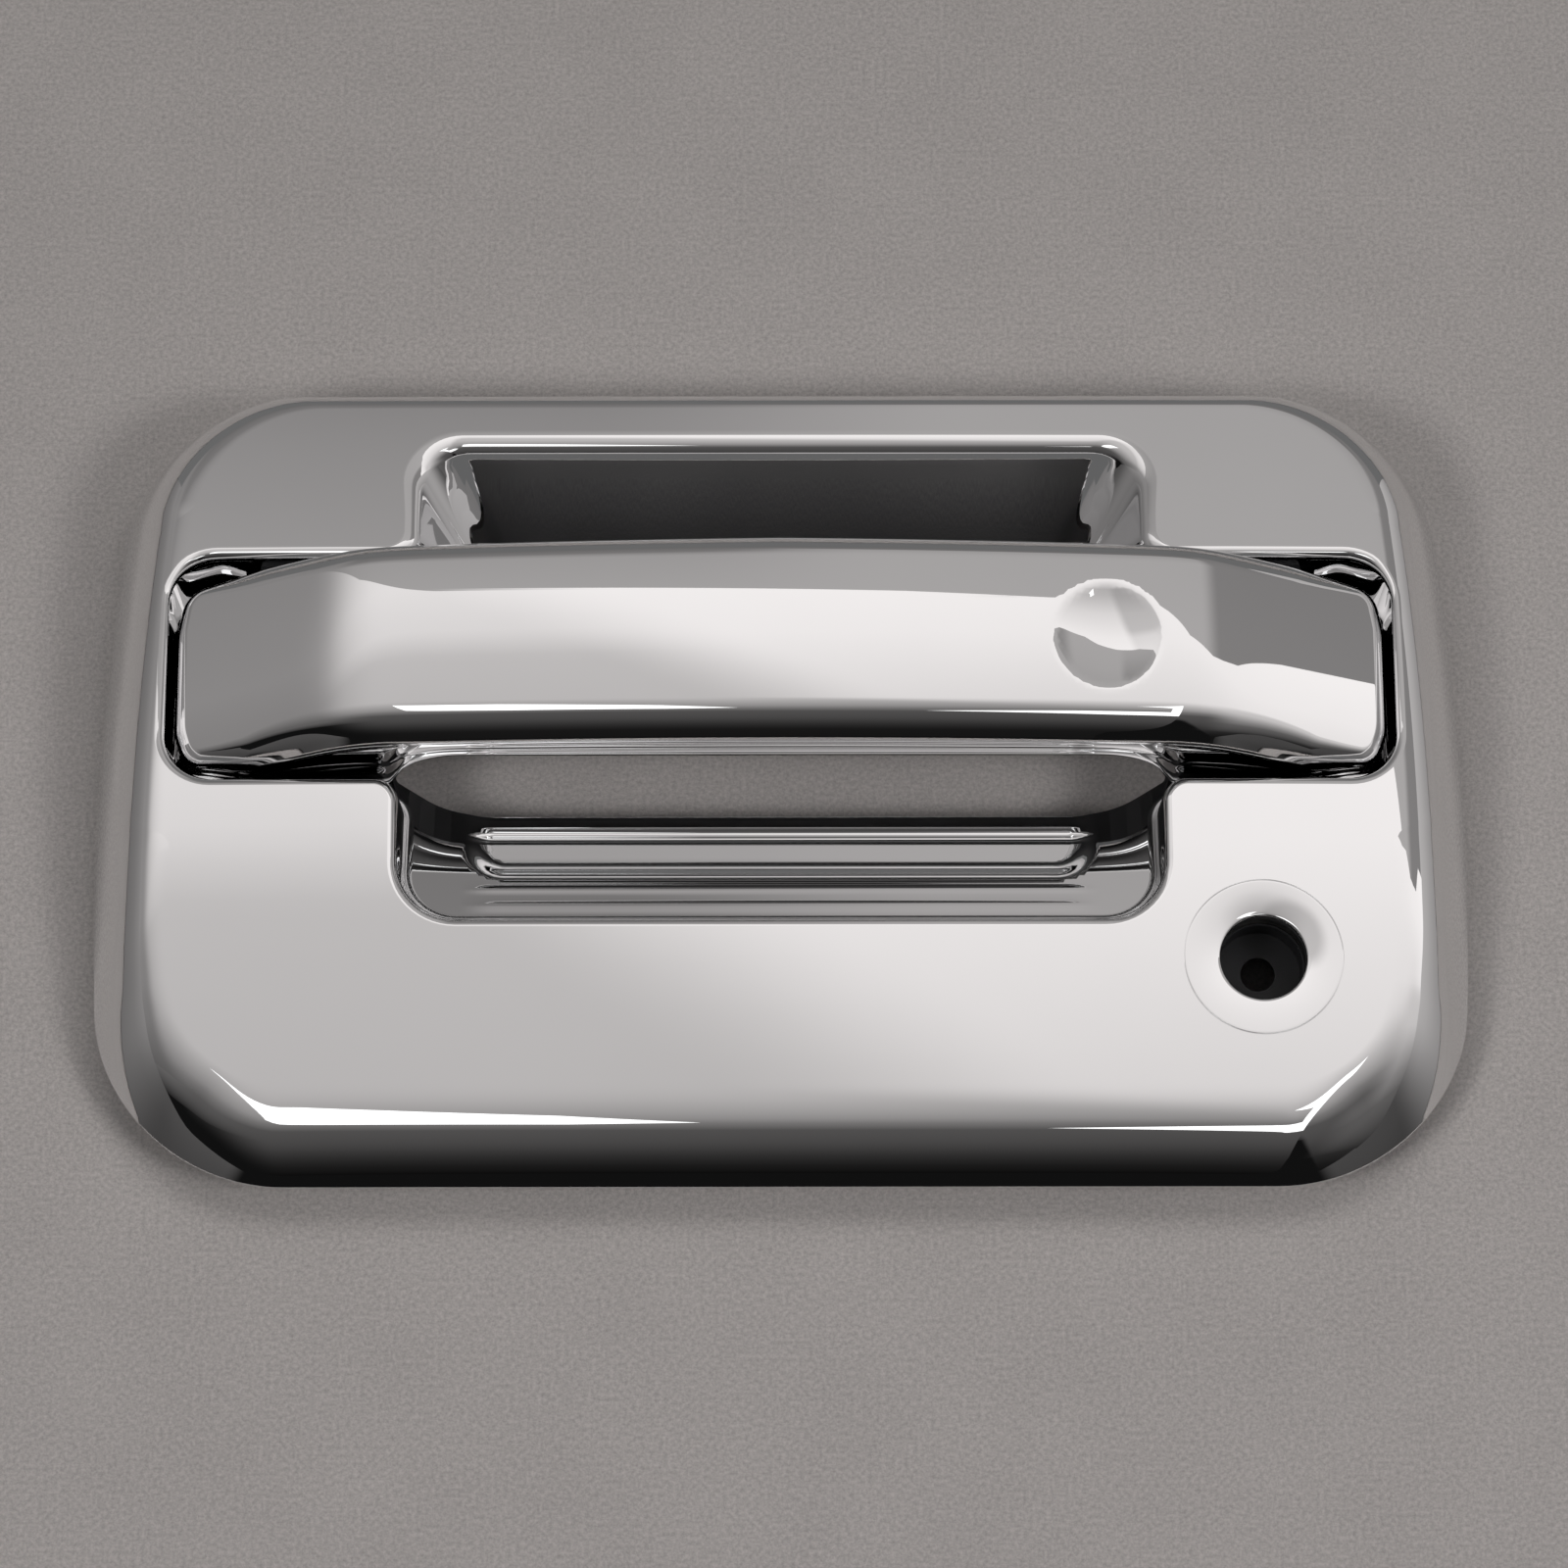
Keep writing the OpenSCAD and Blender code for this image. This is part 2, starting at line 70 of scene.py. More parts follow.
STRAP_HALF, STRAP_TOP = 106.0, 40.5
STRAP_BASE, ARCH_Z, ARCH_X, ARCH_R = 13.5, 25.5, 67.5, 12.0
CREST_Y, STRAP_K = 31.0, 0.004
SHOULDER_X, SHOULDER_SLOPE, SHOULDER_BEND = 73.5, 0.425, 3.0
DIMPLE, DIMPLE_R, DIMPLE_DEPTH, DIMPLE_EDGE = np.array([56.5, 15.2]), 9.3, 1.7, 0.12


# ------------------------------------------------------------------ mesh tools

def smooth(a, b, v):
    t = np.clip((v - a) / (b - a), 0, 1)
    return t * t * (3 - 2 * t)


def mix(a, b, t):
    return a + (b - a) * t


def unit(v):
    return v / np.maximum(np.linalg.norm(v, axis=-1, keepdims=True), 1e-12)


class Surface:
    """Collects vertices with their own normals, so the plating reflects as one smooth sheet."""

    def __init__(self):
        self.v, self.n, self.inner, self.f, self.count = [], [], [], [], 0

    def add(self, verts, normals, faces, thick=SKIN, inner=None):
        verts, normals = np.asarray(verts, float), unit(np.asarray(normals, float))
        self.v.append(verts)
        self.n.append(normals)
        self.inner.append(verts - normals * thick if inner is None else inner)
        self.f += [tuple(int(i) + self.count for i in f) for f in faces]
        self.count += len(verts)

    def grid(self, rows, closed=True, normals=None, skip=None, **skin):
        """A grid of rows of points, each row counter-clockwise and the next row to its left."""
        p = np.asarray(rows, float)
        r, c = p.shape[:2]
        if normals is None:
            normals = grid_normals(p, closed)
        faces = []
        for j in range(r - 1):
            for i in range(c if closed else c - 1):
                if skip is None or not skip(j, i):
                    a, b = j * c + i, j * c + (i + 1) % c
                    faces.append((a, b, b + c, a + c))
        self.add(p.reshape(-1, 3), np.asarray(normals).reshape(-1, 3), faces, **skin)

    def make(self, name, body, replaces=()):
        v, n, inner = np.concatenate(self.v), np.concatenate(self.n), np.concatenate(self.inner)
        count = len(v)
        f = self.f + [tuple(i + count for i in q[::-1]) for q in self.f]
        v, n = np.concatenate([v, inner]), np.concatenate([n, -n])
        v, n, f = close_edges(v, n, f, self.f, count)
        o = mesh_object(name, v, n, f)
        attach(o, body)
        if replaces:
            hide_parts(*replaces)
        return o


def mesh_object(name, v, n, f):
    used = np.zeros(len(v), bool)
    used[[i for q in f for i in q]] = True
    new = np.cumsum(used) - 1
    mesh = bpy.data.meshes.new(name)
    mesh.from_pydata((v[used] * MM).tolist(), [], [tuple(int(new[i]) for i in q) for q in f])
    mesh.polygons.foreach_set("use_smooth", [True] * len(mesh.polygons))
    mesh.normals_split_custom_set_from_vertices(n[used].tolist())
    mesh.update()
    o = bpy.data.objects.new(name, mesh)
    bpy.context.scene.collection.objects.link(o)
    return o


def grid_normals(p, closed):
    if closed:
        du = np.roll(p, -1, axis=1) - np.roll(p, 1, axis=1)
    else:
        du = np.gradient(p, axis=1)
    return unit(np.cross(du, np.gradient(p, axis=0)))


def close_edges(v, n, f, outer, count):
    """Joins the outer and inner skins along every free edge with a strip that has its own flat normals."""
    place, ids, uses = {}, np.empty(count, int), {}
    for i in range(count):
        ids[i] = place.setdefault(tuple(np.round(v[i], 3)), i)
    for q in outer:
        for a, b in zip(q, q[1:] + q[:1]):
            if ids[a] != ids[b]:
                uses.setdefault((min(ids[a], ids[b]), max(ids[a], ids[b])), []).append((a, b))
    vs, ns, fs = [], [], []
    for pair in uses.values():
        if len(pair) == 1:
            a, b = pair[0]
            pts = [v[a], v[a + count], v[b + count], v[b]]
            m = np.cross(pts[2] - pts[0], pts[3] - pts[1])
            if np.linalg.norm(m) > 1e-9:
                k = len(v) + len(vs)
                vs += pts
                ns += [m / np.linalg.norm(m)] * 4
                fs.append((k, k + 1, k + 2, k + 3))
    if vs:
        v, n = np.concatenate([v, vs]), np.concatenate([n, ns])
    return v, n, f + fs


def spread(lo, hi, step):
    """Points of a triangular grid over a box."""
    gx, gy = np.meshgrid(np.arange(lo[0], hi[0], step), np.arange(lo[1], hi[1], step * 0.87))
    gx[1::2] += step / 2
    return np.stack([gx.ravel(), gy.ravel()], -1)


def fill(loops, height, step, keep, fine=None):
    """Vertices, normals and triangles over the part of a height surface that closed loops bound.

    The triangles are a quarter of the size where fine says so.
    """
    pts, edges = [], []
    for loop in loops:
        k = len(pts)
        pts += [tuple(p) for p in loop]
        edges += [(k + i, k + (i + 1) % len(loop)) for i in range(len(loop))]
    fixed = np.array(pts)
    lo, hi = fixed.min(0), fixed.max(0)
    inner, gap = spread(lo, hi, step), 0.5 * step
    if fine is not None:
        small = spread(lo, hi, step / 4)
        inner, small = inner[~fine(inner)], small[fine(small)]
        gap = np.concatenate([np.full(len(inner), gap), np.full(len(small), gap / 4)])
        inner = np.concatenate([inner, small])
        gap = gap[keep(inner)]
    inner = inner[keep(inner)]
    far = np.empty(len(inner))
    for s in range(0, len(inner), 4000):
        far[s:s + 4000] = ((inner[s:s + 4000, None, :] - fixed[None, :, :]) ** 2).sum(2).min(1)
    far = far > gap ** 2
    every = [Vector(p) for p in pts] + [Vector(p) for p in inner[far].tolist()]
    out = delaunay_2d_cdt(every, edges, [], 0, 1e-7)
    vs = np.array([tuple(p) for p in out[0]])
    tri = np.array(out[2])
    tri = tri[keep(vs[tri].mean(1))]
    a, b, c = vs[tri[:, 0]], vs[tri[:, 1]], vs[tri[:, 2]]
    turn = (b[:, 0] - a[:, 0]) * (c[:, 1] - a[:, 1]) - (b[:, 1] - a[:, 1]) * (c[:, 0] - a[:, 0])
    tri[turn < 0] = tri[turn < 0][:, ::-1]
    tri = tri[np.abs(turn) > 1e-7]
    return on(height, vs), slopes(height, vs), tri.tolist()


def on(height, p):
    return np.column_stack([p, height(p[:, 0], p[:, 1])])


def slopes(height, p, h=0.02):
    x, y = p[..., 0], p[..., 1]
    zx = (height(x + h, y) - height(x - h, y)) / (2 * h)
    zy = (height(x, y + h) - height(x, y - h)) / (2 * h)
    return unit(np.stack([-zx, -zy, np.ones_like(x)], -1))


def inside(points, loop):
    """Which points are inside a closed loop."""
    x, y = points[:, 0], points[:, 1]
    ins = np.zeros(len(points), bool)
    x0, y0 = loop[-1]
    for x1, y1 in loop:
        if y1 != y0:
            cross = ((y1 > y) != (y0 > y)) & (x < (x0 - x1) * (y - y1) / (y0 - y1) + x1)
            ins ^= cross
        x0, y0 = x1, y1
    return ins


def arc(cx, cy, r, a0, a1, n):
    a = np.radians(np.linspace(a0, a1, n + 1))
    return np.column_stack([cx + r * np.cos(a), cy + r * np.sin(a)])


def line(a, b, n):
    """n points strictly between a and b."""
    return mix(np.asarray(a), np.asarray(b), (np.arange(1, n + 1) / (n + 1))[:, None])


def round_corners(corners, arc_n, edge_n):
    """A closed loop through corners given as (x, y, radius).

    There are arc_n steps round each corner and edge_n points on each edge.
    """
    c = np.array([p[:2] for p in corners], float)
    k = len(c)
    arcs = []
    for i, (x, y, r) in enumerate(corners):
        d0, d1 = unit(c[i] - c[i - 1]), unit(c[(i + 1) % k] - c[i])
        turn = math.atan2(d0[0] * d1[1] - d0[1] * d1[0], float(d0 @ d1))
        if r == 0:
            arcs.append(np.array([c[i]]))
            continue
        start = c[i] - d0 * r * math.tan(abs(turn) / 2)
        side = math.copysign(1, turn)
        centre = start + side * r * np.array([-d0[1], d0[0]])
        a0 = math.degrees(math.atan2(*(start - centre)[::-1]))
        arcs.append(arc(*centre, r, a0, a0 + math.degrees(turn), arc_n))
    return np.concatenate([np.concatenate([a, line(a[-1], arcs[(i + 1) % k][0], edge_n[i])])
                           for i, a in enumerate(arcs)])


def loop_normals(p):
    """Unit normals of a closed counter-clockwise loop, pointing out."""
    d = unit(np.roll(p, -1, axis=0) - np.roll(p, 1, axis=0))
    return np.column_stack([d[:, 1], -d[:, 0]])


def bezier(a, c, b, n):
    t = np.linspace(0, 1, n)[:, None, None]
    return a * (1 - t) ** 2 + c * 2 * t * (1 - t) + b * t ** 2


# ------------------------------------------------------------------ surround

def face_z(x, y):
    """The crowned face, a little lower towards the ends."""
    return FACE_TOP - CROWN_K * (y - CROWN_Y) ** 2 - END_FALL * (np.abs(x) / 110) ** 4


def narrowing(y):
    """The bow of the surround's ends, as a share of its length."""
    return 1 - BOW / HALF_L * ((y - BOW_Y) / 60) ** 2


def outline(w, y0, y1, rb, rt, corner=30, wide=110, tall=56):
    """A bowed rectangle with round corners, the same number of points whatever its size."""
    corners = [(w, y1, rt), (-w, y1, rt), (-w, y0, rb), (w, y0, rb)]
    p = round_corners(corners, corner, [wide, tall, wide, tall])
    p[:, 0] *= narrowing(p[:, 1])
    return p


def steepness(x, y):
    """How late the roll turns down: latest along the bottom, soonest at the lower corners."""
    corner = smooth(86, 104, np.abs(x)) * (1 - smooth(-50, -30, y))
    return mix(mix(3.0, 2.5, smooth(-62, -40, y)), 1.95, corner)


def front_z(x, y):
    """The face and, beside the strap's ends, the start of the roll."""
    t = np.clip((np.abs(x) / narrowing(y) - FACE_L) / (HALF_L - FACE_L), 0, 1)
    return face_z(x, y) - (face_z(HALF_L * narrowing(y), y) - RIM_Z) * t ** steepness(x, y)


# the rolled edge lies between two outlines; beside the strap's ends the face takes the first part of it
RIM = outline(HALF_L, -HALF_H, HALF_H, 32, 27)
FLAT_EDGE = outline(FACE_L, -59.2, 66.7, 18, 21)
STRAP_Y = 16
ROLL_START = 0.45 * (1 - smooth(0, 8, np.abs(RIM[:, 1] - STRAP_Y) - 26))
FACE_EDGE = mix(FLAT_EDGE, RIM, ROLL_START[:, None])

END_X, END_Y0, END_Y1 = 107.5, -5.0, 37.0
NOTCH_X = (79.6, 94.4)
POCKET_TOP = [
    (-66.5, -30.5, 10.5), (66.5, -30.5, 10.5), (66.5, END_Y0, 4.2),
    (END_X, END_Y0, 8.5), (END_X, END_Y1, 8.5),
    (NOTCH_X[1], END_Y1, 0), (NOTCH_X[0], END_Y1, 0), (64.5, END_Y1, 5), (64.5, 59.5, 8),
    (-64.5, 59.5, 8), (-64.5, END_Y1, 5), (-NOTCH_X[0], END_Y1, 0), (-NOTCH_X[1], END_Y1, 0),
    (-END_X, END_Y1, 8.5), (-END_X, END_Y0, 8.5), (-66.5, END_Y0, 4.2),
]
POCKET_BOTTOM = [
    (-65.3, -29.1, 9.5), (65.3, -29.1, 9.5), (65.3, -3.5, 5.5), (106, -3.5, 7.5), (106, 35.5, 7.5),
    (NOTCH_X[1], 35.5, 0), (NOTCH_X[0], 35.5, 0), (54, 35.5, 4), (54, 45.6, 6),
    (-54, 45.6, 6), (-54, 35.5, 4), (-NOTCH_X[0], 35.5, 0), (-NOTCH_X[1], 35.5, 0),
    (-106, 35.5, 7.5), (-106, -3.5, 7.5), (-65.3, -3.5, 5.5),
]
POCKET_EDGES = [90, 16, 26, 26, 6, 12, 6, 14, 90, 14, 6, 12, 6, 26, 26, 16]
POCKET_ARC = 14
NOTCH_TOP = 21.2
WINDOW = [(-57.5, -7.4, 18), (57.5, -7.4, 18), (67.5, -0.4, 1.5), (67.5, 33, 2), (58, 36, 4),
          (-58, 36, 4), (-67.5, 33, 2), (-67.5, -0.4, 1.5)]
WELL_X, WELL_Y = 55.0, -20.4


def rounded_distance(x, y, w, y0, r):
    """Distance into a shape that is w wide each way and runs up from y0, with round lower corners."""
    qx, qy = np.abs(x) - (w - r), (y0 + r) - y
    return r - np.hypot(np.maximum(qx, 0), np.maximum(qy, 0)) - np.minimum(np.maximum(qx, qy), 0)


def pocket_floor(x, y):
    flange = 16 - 0.18 * (y + 29.5)
    ribs = 0.1 * np.exp(-((y + 22.6) / 0.6) ** 2) + 0.13 * np.exp(-((y + 26) / 0.9) ** 2)
    flange = flange + ribs * (1 - smooth(49, 56, np.abs(x)))
    d = rounded_distance(x, y, WELL_X, WELL_Y, 7)
    well = 11.35 - 0.3 * np.exp(-((y + 11.7) / 0.45) ** 2) - 0.3 * smooth(-9.4, -7.6, y)
    flange = mix(flange, well, smooth(-0.5, 4.5, d))
    z = mix(flange, 11.5, smooth(66, 74, np.abs(x)) * smooth(-8, -3, y))
    cup = smooth(30, 36, y) * (1 - smooth(54, 60, np.abs(x)))
    return mix(z, 8.0, cup)


def roll_rows():
    """Rows from the rim up to the face, and the inner skin under them."""
    rows, inner = [], []
    steps = np.linspace(1, 0, ROLL_STEPS)
    for step in steps:
        t = mix(ROLL_START, 1, step)
        p = mix(FLAT_EDGE, RIM, t[:, None])
        z = face_z(p[:, 0], p[:, 1]) - (face_z(RIM[:, 0], RIM[:, 1]) - RIM_Z) * t ** steepness(*RIM.T)
        rows.append(np.column_stack([p, z]))
    rows = np.array(rows)
    normals = grid_normals(rows, True)
    normals[-1] = slopes(front_z, FACE_EDGE)
    out = np.column_stack([loop_normals(RIM), np.zeros(len(RIM))])
    for row, n, t in zip(rows, normals, steps):
        w = smooth(0.8, 1, t)
        inner.append(row - (n * (1 - w) + out * w) * SKIN)
    return rows, normals, np.array(inner)


def rim_lip(row, normals, inner):
    """The rim's rounded edge, from the rolled surface round to its underside."""
    down = np.array([0, 0, -1.0])
    centre = row - normals * RIM_EDGE_R
    rows, ns = [], []
    for a in np.radians(np.linspace(90, 0, 6)):
        n = unit(normals * math.cos(a) + down * math.sin(a))
        ns.append(n)
        rows.append(centre + n * RIM_EDGE_R)
    return np.array(rows), np.array(ns), np.array([inner] * len(rows))


def pocket_rows():
    top = round_corners(POCKET_TOP, POCKET_ARC, POCKET_EDGES)
    low = round_corners(POCKET_BOTTOM, POCKET_ARC, POCKET_EDGES)
    out, into = loop_normals(top), -loop_normals(low)
    # the edge is rounder above the strap's ends, and more so along the cup
    round_top = mix(mix(1.5, 2.0, smooth(33, 36, top[:, 1])), 2.6, smooth(44, 54, top[:, 1]))[:, None]
    round_low = 1.3
    a = on(front_z, top + out * round_top)
    c = on(front_z, top)
    d = on(pocket_floor, low)
    along = d - c
    length = np.linalg.norm(along, axis=1)[:, None]
    b = c + along * np.minimum(round_top / length, 0.45)
    e = d - along * np.minimum(round_low / length, 0.3)
    f = on(pocket_floor, low + into * round_low)
    upper = bezier(a, c, b, 13)
    lower = bezier(e, d, f, 8)
    # one row of the wall lies along the top of the notches for the strap's arms
    notch = np.clip((b[:, 2] - NOTCH_TOP) / (b[:, 2] - e[:, 2]), 0.12, 0.9)[:, None]
    shares = [notch * s for s in (0.5, 1)]
    shares += [mix(notch, 1, s) for s in (0.15, 0.3, 0.45, 0.6, 0.75, 0.9)]
    # the cup's far wall is hollow
    hollow = np.array([0, 0.5, -0.5]) * smooth(56, 59, b[:, 1])[:, None]
    wall = [mix(b, e, s) + hollow * 4 * s * (1 - s) for s in shares]
    rows = np.concatenate([upper, wall, lower])
    normals = grid_normals(rows, True)
    normals[0] = slopes(front_z, a[:, :2])
    normals[-1] = slopes(pocket_floor, f[:, :2])
    return rows, normals, len(upper) + 1


def notch_columns(x):
    """The columns of the pocket's grid that run down the notches."""
    mid = (x + np.roll(x, -1, axis=0)) / 2
    return (np.abs(mid[:, 0]) > NOTCH_X[0]) & (np.abs(mid[:, 0]) < NOTCH_X[1]) & (mid[:, 1] > END_Y1 - 0.1)


def lock_frame():
    """Two directions across the lock's bore and one out of it."""
    c, s = math.cos(LOCK_LEAN), math.sin(LOCK_LEAN)
    return np.array([1.0, 0, 0]), np.array([0, c, s]), np.array([0, -s, c])


def dish_rows():
    """Rows from the fine line round the lock dish, down the dish, over a small lip and into the bore."""
    u, v, w = lock_frame()
    ang = np.radians(np.arange(0, 360, 3))[:, None]
    ring = u * np.cos(ang) + v * np.sin(ang)
    centre = np.array([*LOCK, face_z(*LOCK)])
    # each entry is a radius, a share of the dish's fall and a depth below that
    profile = [(DISH_R - inset, 0, depth)
               for inset, depth in ((0, 0), (0.05, 0.03), (0.12, 0.06), (0.19, 0.03), (0.25, 0))]
    for s in np.linspace(0.06, 1, 16):
        profile.append((mix(DISH_R - 0.25, BORE_R + BORE_LIP, s), 0.4 * s + 0.6 * s * s, 0))
    for a in np.radians(np.linspace(20, 90, 8)):
        profile.append((BORE_R + BORE_LIP * (1 - math.sin(a)), 1.03, BORE_LIP * (1 - math.cos(a))))
    profile += [(BORE_R, 1.03, 1.3), (BORE_R, 1.03, 2.2)]
    # the dish is deeper on its upper side than on its lower side
    side = 1 + 0.5 * np.sin(ang[:, 0])
    rows = []
    for r, share, depth in profile:
        p = centre + ring * r - w * depth
        p[:, 2] = face_z(p[:, 0], p[:, 1]) - DISH_FALL * share * side - depth * w[2]
        rows.append(p)
    rows = np.array(rows)
    normals = grid_normals(rows, True)
    normals[0] = slopes(face_z, rows[0][:, :2])
    return rows, normals


def build_surround():
    s = Surface()
    rows, normals, inner = roll_rows()
    s.grid(rows, normals=normals, inner=inner.reshape(-1, 3))
    lip, lip_n, lip_in = rim_lip(rows[0], normals[0], inner[0])
    s.grid(lip, normals=lip_n, inner=lip_in.reshape(-1, 3))
    pocket, pocket_n, notch_row = pocket_rows()
    columns = notch_columns(pocket[0])
    s.grid(pocket, normals=pocket_n, skip=lambda j, i: j >= notch_row and columns[i])
    dish, dish_n = dish_rows()
    s.grid(dish, normals=dish_n)
    rim, hole, ring = FACE_EDGE, pocket[0][:, :2], dish[0][:, :2]
    s.add(*fill([rim, hole, ring], front_z, 2.4,
                lambda p: inside(p, rim) & ~inside(p, hole) & ~inside(p, ring),
                lambda p: (np.abs(p[:, 0]) > FACE_L - 3) & (np.abs(p[:, 1] - STRAP_Y) < 34)))
    floor, window = pocket[-1][:, :2], round_corners(WINDOW, 12, [70, 6, 20, 6, 70, 6, 20, 6])
    s.add(*fill([floor, window], pocket_floor, 0.9, lambda p: inside(p, floor) & ~inside(p, window)))
    return s.make("surround_shell", "housing", ["bezel"])


POSTS = [(-44.3, -46.7), (44.3, -46.7), (-77.3, -21.1), (74.1, -16.3), (-70.6, 51.1), (70.6, 51.1)]
POST_R, POST_HOLE_R, POST_BEVEL = 3.5, 1.55, 0.3


def build_posts():
    """The six hollow posts behind the face that the carrier's screws go into."""
    v, f, n = [], [], []
    sides = 28
    for x, y in POSTS:
        top = float(face_z(x, y)) - 1.2
        # each ring is a radius, a height, and how far its normals point out and up
        rings = [(POST_R, top, 1, 0), (POST_R, RIM_Z + POST_BEVEL, 1, -0.3),
                 (POST_R - POST_BEVEL, RIM_Z, 0.3, -1), (POST_HOLE_R + 0.25, RIM_Z, -0.3, -1),
                 (POST_HOLE_R, RIM_Z + POST_BEVEL, -1, -0.3), (POST_HOLE_R, top - 2, -1, 0)]
        base = len(v)
        for r, z, n_out, n_up in rings:
            for i in range(sides):
                c, s = math.cos(2 * math.pi * i / sides), math.sin(2 * math.pi * i / sides)
                v.append((x + r * c, y + r * s, z))
                n.append((n_out * c, n_out * s, n_up))
        for k in range(len(rings) - 1):
            for i in range(sides):
                a, b = base + k * sides + i, base + k * sides + (i + 1) % sides
                f.append((b, a, a + sides, b + sides))
        f.append(tuple(base + (len(rings) - 1) * sides + i for i in range(sides - 1, -1, -1)))
    o = mesh_object("surround_posts", np.array(v), unit(np.array(n, float)), f)
    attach(o, "housing")
    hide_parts("bezel")
    return o


# ------------------------------------------------------------------ pull strap

def strap_z(x, y):
    """The strap's front: a crowned bar whose ends bend down past the shoulders."""
    over = SHOULDER_BEND * np.logaddexp(0, (np.abs(x) - SHOULDER_X) / SHOULDER_BEND)
    z = STRAP_TOP - 0.0004 * x * x - SHOULDER_SLOPE * over - STRAP_K * (y - CREST_Y) ** 2
    d = np.hypot(x - DIMPLE[0], y - DIMPLE[1])
    ball = (DIMPLE_R ** 2 + DIMPLE_DEPTH ** 2) / (2 * DIMPLE_DEPTH)
    dish = DIMPLE_DEPTH - (ball - np.sqrt(np.maximum(ball ** 2 - d ** 2, 0)))
    eased = DIMPLE_EDGE * np.logaddexp(0, np.clip(dish / DIMPLE_EDGE, -40, 40))
    return z - eased * (d < DIMPLE_R + 4)


# the right-hand end's corners from the bottom up, with their radii; the left-hand end mirrors them
STRAP_END = [
    (93, -2.5, 14), (104.0, -0.5, 5), (STRAP_HALF, 5, 9),
    (STRAP_HALF, 23.5, 9), (104.7, 30.8, 5), (92, 33.6, 22),
]


def strap_loop():
    left = [(-x, y, r) for x, y, r in STRAP_END[::-1]]
    edges = [70, 3, 2, 16, 2, 3, 70]
    return round_corners([(0, -2.5, 0)] + STRAP_END + [(0, 34.6, 0)] + left, 8, edges + edges)


def strap_base_z(x):
    """The strap's lower edge, which lifts over the fingers between the two ends."""
    u = np.abs(x)
    lift = np.sqrt(np.maximum(ARCH_R ** 2 - np.maximum(u - (ARCH_X - ARCH_R), 0) ** 2, 0))
    arch = np.where(u < ARCH_X, ARCH_Z - ARCH_R + lift, STRAP_BASE)
    return np.maximum(arch, STRAP_BASE)


# the wall under the strap's front: share of its height, and how far it is let in to form two shallow grooves
STRAP_WALL = [
    (0, 0.5), (0.1, 0.15), (0.3, 0.1), (0.36, 0.4), (0.5, 0.45), (0.55, 0.12),
    (0.8, 0.1), (0.85, 0.35), (0.92, 0.3), (0.96, 0.06),
]


def strap_rows():
    """Rows from the foot of the strap's wall, over its lip, up to the edge of its front."""
    p = strap_loop()
    n2 = loop_normals(p)
    u = np.abs(p[:, 0])
    lower = smooth(10, 2, p[:, 1]) * smooth(105, 76, u)
    upper = smooth(22, 30, p[:, 1]) * smooth(105, 91, u)
    r = 2.2 + 5.0 * lower + 3.0 * upper
    first, run = np.radians(48.5) * lower, 1.3 * lower
    slope = np.cos(first) / np.maximum(np.sin(first), 0.2)

    def at(offset, fall):
        q = p - n2 * offset[:, None]
        return np.column_stack([q, strap_z(q[:, 0], q[:, 1]) - fall])

    lip_fall = r * (1 - np.sin(first))
    lip_z = at(0 * r, lip_fall + run * slope)[:, 2]
    rows = []
    for share, inset in STRAP_WALL:
        q = p - n2 * (inset * (0.15 + 0.85 * lower))[:, None]
        rows.append(np.column_stack([q, mix(strap_base_z(p[:, 0]), lip_z, share)]))
    # a straight slope above the lip, then the rounded edge
    for share in (0.12, 0.4, 0.7):
        rows.append(at(run * share, lip_fall + run * (1 - share) * slope))
    for share in np.linspace(0, 1, 18):
        angle = mix(first, np.radians(90), share)
        rows.append(at(run + r * (np.cos(first) - np.cos(angle)), r * (1 - np.sin(angle))))
    rows = np.array(rows)
    normals = grid_normals(rows, True)
    normals[-1] = slopes(strap_z, rows[-1][:, :2])
    return rows, normals


def build_strap():
    s = Surface()
    rows, normals = strap_rows()
    s.grid(rows, normals=normals)
    rim = rows[-1][:, :2]
    s.add(*fill([rim], strap_z, 1.1, lambda q: inside(q, rim)))
    return s.make("strap_shell", "handle", ["handle_cover"])


# ------------------------------------------------------------------ materials

